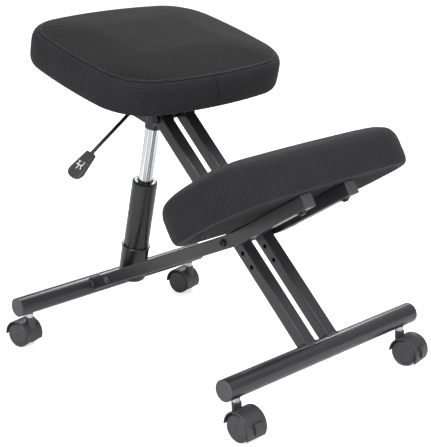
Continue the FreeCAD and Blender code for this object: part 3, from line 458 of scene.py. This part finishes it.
def outlinePoints(shape):    # points and outward normals of a bowed rectangle, all arcs tangent
    a, b = shape["size"][0] / 2, shape["size"][1] / 2
    longRadius, shortRadius = shape["sideRadii"]
    corner = shape["corner"]
    longCentre, shortCentre = Vector((0, b - longRadius)), Vector((a - shortRadius, 0))
    d1, d2 = longRadius - corner, shortRadius - corner
    gap = shortCentre - longCentre
    reach = (d1 ** 2 - d2 ** 2 + gap.length ** 2) / (2 * gap.length)
    rise = math.sqrt(max(d1 ** 2 - reach ** 2, 0.0))
    along = gap.normalized()
    options = [longCentre + along * reach + Vector((-along.y, along.x)) * rise * s for s in (1, -1)]
    centre = max(options, key=lambda p: p.x + p.y)
    sideEnd = math.atan2(*(centre - shortCentre).yx)
    topStart = math.atan2(*(centre - longCentre).yx)
    spans = ((shortCentre, shortRadius, 0.0, sideEnd), (centre, corner, sideEnd, topStart),
             (longCentre, longRadius, topStart, math.pi / 2))
    lengths = [r * (t1 - t0) for _, r, t0, t1 in spans]
    cornerMiddle = lengths[0] + lengths[1] / 2
    total = sum(lengths)

    def at(distance):
        for (c, r, t0, _), length in zip(spans, lengths):
            if distance <= length + 1e-9:
                t = t0 + distance / r
                normal = Vector((math.cos(t), math.sin(t)))
                return c + normal * r, normal
            distance -= length
        return Vector((0, b)), Vector((0, 1))

    half = perSide // 2
    quarter = [at(cornerMiddle * k / half) for k in range(half)]    # middle of the end up to the corner
    quarter += [at(cornerMiddle + (total - cornerMiddle) * k / half) for k in range(half)]    # on to the long side
    ring = []
    for sx, sy in ((1, 1), (-1, 1), (-1, -1), (1, -1)):
        points = quarter if sx * sy > 0 else (quarter[1:] + [at(total)])[::-1]
        ring += [(Vector((p.x * sx, p.y * sy)), Vector((n.x * sx, n.y * sy))) for p, n in points]
    return ring[half:] + ring[:half]    # the grid's corners are the outline's corners


def coonsGrid(ring):    # inner points of a grid whose rim is the ring
    sides = [[ring[(s * perSide + k) % len(ring)] for k in range(perSide + 1)] for s in range(4)]
    top, left, bottom, right = sides[0], sides[1], sides[2][::-1], sides[3][::-1]
    grid = {}
    for i in range(perSide + 1):
        for j in range(perSide + 1):
            u, v = i / perSide, j / perSide
            edges = top[i] * (1 - v) + bottom[i] * v + right[j] * (1 - u) + left[j] * u
            corners = top[0] * (1 - u) * (1 - v) + top[perSide] * u * (1 - v)
            corners += bottom[0] * (1 - u) * v + bottom[perSide] * u * v
            grid[i, j] = edges - corners
    return grid


def ringIndex(i, j):    # place on the rim of grid point (i, j), or None inside
    if j == 0:
        return i
    if i == perSide:
        return perSide + j
    if j == perSide:
        return 3 * perSide - i
    if i == 0:
        return (4 * perSide - j) % (4 * perSide)
    return None


def cushionMesh(name, shape):
    ring = outlinePoints(shape)
    count = len(ring)
    seam = len(shape["side"]) - 1
    levels = [(h * mm, i * mm) for h, i in shape["side"] + shape["top"]]
    verts, kinds = [], []
    for k, (height, inset) in enumerate(levels):
        loose = 2 <= k < seam - 1 or k > seam + 2    # rings that the sewing leaves free
        inwards = shape["start"] if loose and k < seam else 0.0
        down = shape["start"] if loose and k > seam else 0.0
        for p, n in ring:
            spot = p - n * (inset + inwards)
            verts.append(Vector((spot.x, spot.y, height - down)))
            kinds.append(k)
    faces, panels = [], []
    for k in range(len(levels) - 1):
        for j in range(count):
            nextJ = (j + 1) % count
            faces.append((k * count + j, k * count + nextJ, (k + 1) * count + nextJ, (k + 1) * count + j))
            panels.append("side" if k < seam + shape["unrolled"] else "top")
    lastHeight = levels[-1][0]
    for level, panel in ((len(levels) - 1, "top"), (0, "foot")):
        rim = [verts[level * count + j].xy for j in range(count)]
        index = {}
        for (i, j), spot in coonsGrid(rim).items():
            onRim = ringIndex(i, j)
            if onRim is not None:
                index[i, j] = level * count + onRim
                continue
            u, v = 2 * i / perSide - 1, 2 * j / perSide - 1
            full = 1 - (1 - (1 - u * u) * (1 - v * v)) ** domePower
            height = lastHeight - shape["start"] + (shape["middle"] * mm - lastHeight) * full
            verts.append(Vector((spot.x, spot.y, height if panel == "top" else 0.0)))
            kinds.append(topInside if panel == "top" else footInside)
            index[i, j] = len(verts) - 1
        for i in range(perSide):
            for j in range(perSide):
                quad = (index[i, j], index[i + 1, j], index[i + 1, j + 1], index[i, j + 1])
                faces.append(quad if panel == "top" else quad[::-1])
                panels.append(panel)
    data = bpy.data.meshes.new(name)
    data.from_pydata([tuple(v) for v in verts], [], faces)
    return linked(name, data), panels, kinds, count, seam


def inflate(piece, held, cap):    # cloth under light pressure, with the seam, the foot and the board's edge held
    piece.vertex_groups.new(name="held").add(held, 1.0, "REPLACE")
    start = [v.co.copy() for v in piece.data.vertices]
    cloth = piece.modifiers.new("cloth", "CLOTH")
    settings = cloth.settings
    settings.quality = clothSim["quality"]
    settings.mass = clothSim["mass"]
    settings.tension_stiffness = clothSim["stiffness"]
    settings.compression_stiffness = clothSim["stiffness"]
    settings.bending_stiffness = clothSim["bending"]
    settings.use_pressure = True
    settings.uniform_pressure_force = clothSim["pressure"]
    settings.vertex_group_mass = "held"
    settings.effector_weights.gravity = 0.0
    cloth.collision_settings.use_collision = False
    cloth.point_cache.frame_start = 1
    cloth.point_cache.frame_end = clothSim["frames"]
    for step in range(1, clothSim["frames"] + 1):
        bpy.context.scene.frame_set(step)
    applyModifiers(piece)
    bpy.context.scene.frame_set(1)
    for vertex, before in zip(piece.data.vertices, start):
        move = vertex.co - before
        if move.length > cap:
            vertex.co = before + move.normalized() * cap
    piece.vertex_groups.clear()


def panelMap(piece, panels, count, seam, shape):    # UV map in metres: flat on top and foot, unrolled round the side
    profile = [Vector(level) * mm for level in shape["side"] + shape["top"]]
    rise = [0.0]
    for a, b in zip(profile, profile[1:]):
        rise.append(rise[-1] + (b - a).length)
    layer = piece.data.uv_layers.new(name="panel")
    kind = piece.data.attributes.new("panelKind", "INT", "FACE")
    co = [v.co.copy() for v in piece.data.vertices]
    belt = [co[seam // 3 * count + j] for j in range(count)]    # a ring low on the side
    around = [0.0]
    for j in range(count):
        around.append(around[-1] + (belt[(j + 1) % count] - belt[j]).length)
    front = min(range(count), key=lambda j: abs(belt[j].x) + (1.0 if belt[j].y > 0 else 0.0))
    around = [value - around[front] for value in around]
    for polygon, panel in zip(piece.data.polygons, panels):
        kind.data[polygon.index].value = 1 if panel == "top" else 0
        columns = [v % count for v in polygon.vertices]
        wraps = max(columns) - min(columns) > count // 2
        for loop, vertex in zip(polygon.loop_indices, polygon.vertices):
            if panel == "side":
                column = count if wraps and vertex % count == 0 else vertex % count
                layer.data[loop].uv = (around[column], rise[vertex // count])
            else:
                layer.data[loop].uv = (co[vertex].x, co[vertex].y)


def seamRelief(piece, kinds, seam):
    piece.data.update()
    normals = [v.normal.copy() for v in piece.data.vertices]
    heights = {seam: seamHeight["line"], seam - 1: seamHeight["beside"], seam + 1: seamHeight["beside"]}
    for vertex, kind in zip(piece.data.vertices, kinds):
        if kind in heights:
            vertex.co += normals[vertex.index] * heights[kind]


def madeCushion(which):
    shape = cushionShape[which]
    piece, panels, kinds, count, seam = cushionMesh(which + "Cushion", shape)
    heldKinds = (footInside, 0, 1, seam - 1, seam, seam + 1, seam + 2)
    inflate(piece, [index for index, kind in enumerate(kinds) if kind in heldKinds], shape["cap"])
    panelMap(piece, panels, count, seam, shape)
    if which == "seat":
        seamRelief(piece, kinds, seam)
    smooth = piece.modifiers.new("smooth", "SUBSURF")
    smooth.levels = 1
    smooth.render_levels = 1
    applyModifiers(piece)
    settle(piece, shape["place"])
    dress(piece, shape["mesh"])
    if which == "seat":    # the top panel is its own cut of cloth
        piece.data.materials.append(topMesh)
        panelKinds = [face.value for face in piece.data.attributes["panelKind"].data]
        for polygon, kind in zip(piece.data.polygons, panelKinds):
            polygon.material_index = kind
    pick(piece)
    bpy.ops.object.shade_smooth()
    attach(piece, shape["body"])
    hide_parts(shape["node"])
    print(which, "cushion made")
    return piece


seatTop = madeCushion("seat")
madeCushion("knee")


# stitches along the seat's seam

topstitch = {
    "length": 3.4 * mm,
    "pitch": 4.4 * mm,
    "thickness": 0.9 * mm,
    "flatness": 0.7,
    "lift": 0.1 * mm,
    "rows": (7.4 * mm, 13.6 * mm),    # insets from the outline: one row on the border, one on the top panel
    "height": 70 * mm,    # where the search for the cloth starts
}


def oneStitch():
    bpy.ops.mesh.primitive_uv_sphere_add(segments=8, ring_count=6, radius=0.5)
    stitch = added("stitch")
    stitch.scale = (topstitch["length"], topstitch["thickness"], topstitch["thickness"] * topstitch["flatness"])
    return settle(stitch)


def stitchRow(cushion, inset, source):    # stitches lie on the cloth, each turned along the seam
    shape = cushionShape["seat"]
    path = [p - n * inset for p, n in outlinePoints(shape)]
    length = sum((path[k] - path[k - 1]).length for k in range(len(path)))
    count = round(length / topstitch["pitch"])
    row, walked, target = [], 0.0, 0.0
    for k in range(len(path)):
        a, b = path[k], path[(k + 1) % len(path)]
        step = (b - a).length
        while target < walked + step and len(row) < count:
            spot = a.lerp(b, (target - walked) / step)
            start = shape["place"] @ Vector((spot.x, spot.y, topstitch["height"]))
            _, place, normal, _ = cushion.closest_point_on_mesh(start)
            along = (shape["place"].to_3x3() @ Vector((b.x - a.x, b.y - a.y, 0))).normalized()
            side = normal.cross(along).normalized()
            turn = Matrix((side.cross(normal), side, normal)).transposed().to_4x4()
            lifted = place + normal * topstitch["lift"]
            row.append(copied(source, "stitch", Matrix.Translation(lifted) @ turn))
            target += length / count
        walked += step
    return row


stitchSource = oneStitch()
stitches = []
for inset in topstitch["rows"]:
    stitches += stitchRow(seatTop, inset, stitchSource)
bpy.data.objects.remove(stitchSource)
finished(joined(stitches, "seatTopstitch"), made["bondedPolyesterThread"], "seat_unit")
print("stitches made")


# welds: beads round the square tubes where they meet the round ones, and round the pin of the gas lift

weldRuns = {    # spans lie along the round tube, in millimetres
    "arm": {"centre": rearTube, "toward": mainPivot - rearTube, "spans": ((42.0, 67.0), (-67.0, -42.0)),
            "body": "rear_base"},
    "leg": {"centre": frontTube, "toward": Vector((0, 1.0, 1.0)), "spans": ((15.5, 40.5), (-40.5, -15.5)),
            "body": "leg_frame"},
}
weldShape = {
    "tube": 19.0 * mm,    # radius of the tube that the square tube is coped onto
    "half": 12.5 * mm,    # half of the square tube
    "lift": 0.4 * mm,
    "bead": 2.0 * mm,
    "ripple": 0.22,
    "waves": ((1.0, 2.1), (0.4, 5.3)),    # share and step of each ripple
    "pointsPerSide": 22,
}
pinWeld = {"outside": 67.0 * mm, "ring": 7.2 * mm, "bead": 1.4 * mm}


def weldPath(run, span):    # where a square tube meets the round one, a little outside the corner
    centre = run["centre"] * mm
    ahead = run["toward"].normalized()
    across = Vector((1, 0, 0)).cross(ahead)
    low, high, half, count = span[0] * mm, span[1] * mm, weldShape["half"], weldShape["pointsPerSide"]
    corners = ((low, -half), (high, -half), (high, half), (low, half))
    points = []
    for k in range(4):
        (x0, w0), (x1, w1) = corners[k], corners[(k + 1) % 4]
        for j in range(count):
            x, w = x0 + (x1 - x0) * j / count, w0 + (w1 - w0) * j / count
            depth = math.sqrt(weldShape["tube"] ** 2 - w * w) + weldShape["lift"]
            points.append(centre + Vector((x, 0, 0)) + across * w + ahead * depth)
    return points


def weldAlong(name, points, body):
    curve = bpy.data.curves.new(name, "CURVE")
    curve.dimensions = "3D"
    curve.bevel_depth = weldShape["bead"]
    curve.bevel_resolution = 2
    spline = curve.splines.new("POLY")
    spline.points.add(len(points) - 1)
    for k, point in enumerate(points):
        wave = sum(share * math.sin(k * step) for share, step in weldShape["waves"])
        spline.points[k].co = (*point, 1.0)
        spline.points[k].radius = 1.0 + weldShape["ripple"] * wave
    spline.use_cyclic_u = True
    pick(linked(name, curve))
    bpy.ops.object.convert(target="MESH")
    finished(bpy.context.object, made["powderCoatedWeld"], body, 60)


for name, run in weldRuns.items():
    for span in run["spans"]:
        side = "Left" if span[0] > 0 else "Right"
        weldAlong(name + "Weld" + side, weldPath(run, span), run["body"])
for side, word in ((1, "Left"), (-1, "Right")):
    bpy.ops.mesh.primitive_torus_add(major_radius=pinWeld["ring"], minor_radius=pinWeld["bead"], major_segments=40,
                                     minor_segments=10, location=(side * pinWeld["outside"], *gasPin.yz),
                                     rotation=(0, math.radians(90), 0))
    finished(settle(added("pinWeld" + word)), made["powderCoatedWeld"], "rear_base", 60)
print("welds made")


# handle of the release lever

handleShape = {
    "corner": Vector((-62.0, 0.0, 365.8)) * mm,    # bend of the lever rod, in the axes of the gas lift
    "slope": math.radians(40),
    "root": 106.5 * mm,    # along the outer run of the rod
    "length": 59.0 * mm,
    "turn": math.radians(5),    # it doesn't sit quite in line with the rod
    "rootWidth": 21.0 * mm,
    "tipWidth": 41.0 * mm,
    "thickness": 9.5 * mm,
    "rootRound": 3.0 * mm,
    "tipRound": 18.0 * mm,
    "edge": 1.6 * mm,
    "rim": 2.4 * mm,
    "rimSlope": 0.8 * mm,
    "rimDepth": 0.7 * mm,
}


def handleFrame():
    c, s = math.cos(handleShape["slope"]), math.sin(handleShape["slope"])
    axes = Matrix(((-c, 0, -s), (0, -1, 0), (-s, 0, c))).transposed().to_4x4()
    origin = handleShape["corner"] + Vector((-c, 0, -s)) * handleShape["root"]
    return gasFrame @ Matrix.Translation(origin) @ axes @ Matrix.Rotation(handleShape["turn"], 4, "Z")


def chooseParts(piece, kind, test):    # in edit mode: selects the vertices or faces that pass the test
    bpy.ops.mesh.select_mode(type=kind)
    bpy.ops.mesh.select_all(action="DESELECT")
    data = bmesh.from_edit_mesh(piece.data)
    for part in data.verts if kind == "VERT" else data.faces:
        part.select_set(test(part))
    data.select_flush_mode()
    bmesh.update_edit_mesh(piece.data)


def paddle():
    values = handleShape
    bpy.ops.mesh.primitive_plane_add(size=1, location=(0.5, 0, 0))
    piece = added("leverHandle")
    piece.scale = (values["length"], values["tipWidth"], 1)
    piece.location = (values["length"] / 2, 0, -values["thickness"] / 2)
    settle(piece)
    bpy.ops.object.mode_set(mode="EDIT")
    chooseParts(piece, "VERT", lambda vertex: vertex.co.x < values["length"] / 2)
    bpy.ops.transform.resize(value=(1, values["rootWidth"] / values["tipWidth"], 1))
    bpy.ops.mesh.bevel(offset=values["rootRound"], affect="VERTICES", segments=4)
    chooseParts(piece, "VERT", lambda vertex: vertex.co.x > values["length"] * 0.9)
    bpy.ops.mesh.bevel(offset=values["tipRound"], affect="VERTICES", segments=10)
    bpy.ops.mesh.select_all(action="SELECT")
    bpy.ops.mesh.extrude_region_move(TRANSFORM_OT_translate={"value": (0, 0, values["thickness"])})
    outwards(piece)
    bpy.ops.object.mode_set(mode="EDIT")
    chooseParts(piece, "FACE", lambda face: face.normal.z > 0.99)
    bpy.ops.mesh.inset(thickness=values["rim"], depth=0)
    bpy.ops.mesh.inset(thickness=values["rimSlope"], depth=-values["rimDepth"])
    bpy.ops.object.mode_set(mode="OBJECT")
    bevel = piece.modifiers.new("edge", "BEVEL")
    bevel.width = values["edge"]
    bevel.segments = 3
    bevel.limit_method = "ANGLE"
    bevel.angle_limit = math.radians(60)
    applyModifiers(piece)
    return outwards(piece)


symbol = {    # seat with an arrow up and an arrow down: centre, size and turn of each flat bar, in mm and degrees
    "bars": ((24, 5.5, 9, 1.6, 0), (28.5, 1.5, 1.6, 9, 0), (33, -2.5, 9, 1.6, 0), (33, 5.5, 7, 1.6, 35),
             (24.5, -6.5, 8, 1.4, 0), (21.5, -5.2, 4, 1.4, -45), (21.5, -7.8, 4, 1.4, 45),
             (27.5, -5.2, 4, 1.4, 45), (27.5, -7.8, 4, 1.4, -45)),
    "shift": Vector((4.0, 0.5)),
    "thickness": 0.3 * mm,
}


def pictogram():
    level = handleShape["thickness"] / 2 - handleShape["rimDepth"] + symbol["thickness"] / 4
    bars = []
    for x, y, long, wide, turn in symbol["bars"]:
        spot = (Vector((x, y)) + symbol["shift"]) * mm
        bpy.ops.mesh.primitive_cube_add(size=1, location=(*spot, level), rotation=(0, 0, math.radians(turn)))
        bar = added("bar")
        bar.scale = (long * mm, wide * mm, symbol["thickness"])
        bars.append(settle(bar))
    return joined(bars, "handleSymbol")


handle = settle(paddle(), handleFrame())
finished(handle, nylon, "lever", 40)
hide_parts("lever_handle")
finished(settle(pictogram(), handleFrame()), made["whitePadPrint"], "lever", 40)
print("handle made")


# floor, light and camera

studio = {
    "floor": "f4f4f4",
    "floorSize": 14.0,
    "floorLift": 0.6,    # added white, for the camera alone
    "skyStrength": 0.7,
    "wallStrength": 0.36,
    "skyFrom": 0.3,    # height of the look up where the wall ends and where the ceiling is full
    "skyTo": 0.75,
    "panelScale": 2.6,    # light and dark panels round the walls
    "panelRange": {"From Min": 0.4, "From Max": 0.6, "To Min": 0.35, "To Max": 1.9},
    "aim": Vector((0, 0, 0.35)),    # what the lamps point at
}
lamps = {
    "keyLamp": {"place": (-1.9, -0.9, 2.3), "size": 0.9, "power": 50},    # draws the edges of the square tubes
    "frontLamp": {"place": (-0.6, -3.2, 2.0), "size": 1.8, "power": 84},
    "backLamp": {"place": (2.2, 1.5, 2.6), "size": 1.2, "power": 62},    # draws the tops of the round tubes
}
viewpoint = {    # solved from the frame's straight tubes and the wheels on the floor
    "place": Vector((-1446.9, -1596.8, 887.9)) * mm,
    "yaw": math.radians(42.68),
    "pitch": math.radians(16.25),
    "roll": math.radians(-2.13),
    "focalPixels": 1198.5,
    "imageWidth": 431,
    "sensorWidth": 36.0,
    "clipEnd": 50.0,
}


def madeFloor():
    bpy.ops.mesh.primitive_plane_add(size=studio["floorSize"], location=(0, 0, 0))
    floor = added("studioFloor")
    material, tree, shader = newMaterial("paleVinylFloor", studio["floor"], 0.9, extra={"Specular IOR Level": 0.1})
    path = addNode(tree, "LightPath")
    lift = addNode(tree, "Math", {"operation": "MULTIPLY", 1: studio["floorLift"]},
                   {0: path.outputs["Is Camera Ray"]})
    glow = addNode(tree, "Emission", {"Color": (1, 1, 1, 1)}, {"Strength": lift.outputs["Value"]})
    both = addNode(tree, "AddShader", {}, {0: shader.outputs["BSDF"], 1: glow.outputs["Emission"]})
    tree.links.new(both.outputs["Shader"], tree.nodes["Material Output"].inputs["Surface"])
    dress(floor, material)


def madeSky():    # the camera sees plain white; everything else sees a soft ceiling over darker walls
    world = bpy.data.worlds.new("studioSky")
    bpy.context.scene.world = world
    world.use_nodes = True
    tree = world.node_tree
    tree.nodes.clear()
    path = addNode(tree, "LightPath")
    direction = addNode(tree, "TexCoord").outputs["Generated"]
    split = addNode(tree, "SeparateXYZ", {}, {"Vector": direction})
    ceiling = addNode(tree, "MapRange", {"From Min": studio["skyFrom"], "From Max": studio["skyTo"],
                                         "To Min": studio["wallStrength"], "To Max": studio["skyStrength"],
                                         "interpolation_type": "SMOOTHSTEP"}, {"Value": split.outputs["Z"]})
    flat = addNode(tree, "VectorMath", {"operation": "MULTIPLY", 1: (1.0, 1.0, 0.0)}, {0: direction})
    panels = addNode(tree, "TexNoise", {"Scale": studio["panelScale"], "Detail": 1.0},
                     {"Vector": flat.outputs["Vector"]})
    wall = addNode(tree, "MapRange", studio["panelRange"], {"Value": panels.outputs["Fac"]})
    strength = addNode(tree, "Math", {"operation": "MULTIPLY"},
                       {0: ceiling.outputs["Result"], 1: wall.outputs["Result"]})
    soft = addNode(tree, "Background", {"Color": (1, 1, 1, 1)}, {"Strength": strength.outputs["Value"]})
    white = addNode(tree, "Background", {"Color": (1, 1, 1, 1), "Strength": 1.0})
    mix = addNode(tree, "MixShader", {}, {0: path.outputs["Is Camera Ray"], 1: soft.outputs["Background"],
                                          2: white.outputs["Background"]})
    addNode(tree, "OutputWorld", {}, {"Surface": mix.outputs["Shader"]})


def madeLamps():
    for name, values in lamps.items():
        light = bpy.data.lights.new(name, "AREA")
        light.size = values["size"]
        light.energy = values["power"]
        lamp = linked(name, light)
        lamp.location = values["place"]
        lamp.rotation_euler = (studio["aim"] - lamp.location).to_track_quat("-Z", "Y").to_euler()


def madeCamera():
    yaw, pitch, roll = viewpoint["yaw"], viewpoint["pitch"], viewpoint["roll"]
    ahead = Vector((math.sin(yaw) * math.cos(pitch), math.cos(yaw) * math.cos(pitch), -math.sin(pitch)))
    right = Vector((math.cos(yaw), -math.sin(yaw), 0))
    up = right.cross(ahead)
    tilted = right * math.cos(roll) + up * math.sin(roll)
    above = up * math.cos(roll) - right * math.sin(roll)
    data = bpy.data.cameras.new("photoCamera")
    data.sensor_fit = "HORIZONTAL"
    data.sensor_width = viewpoint["sensorWidth"]
    data.lens = data.sensor_width * viewpoint["focalPixels"] / viewpoint["imageWidth"]
    data.clip_end = viewpoint["clipEnd"]
    camera = linked("photoCamera", data)
    turn = Matrix((tilted, above, -ahead)).transposed().to_4x4()
    camera.matrix_world = Matrix.Translation(viewpoint["place"]) @ turn
    bpy.context.scene.camera = camera


madeFloor()
madeSky()
madeLamps()
madeCamera()
bpy.context.scene.view_settings.view_transform = "Standard"
print("studio made")
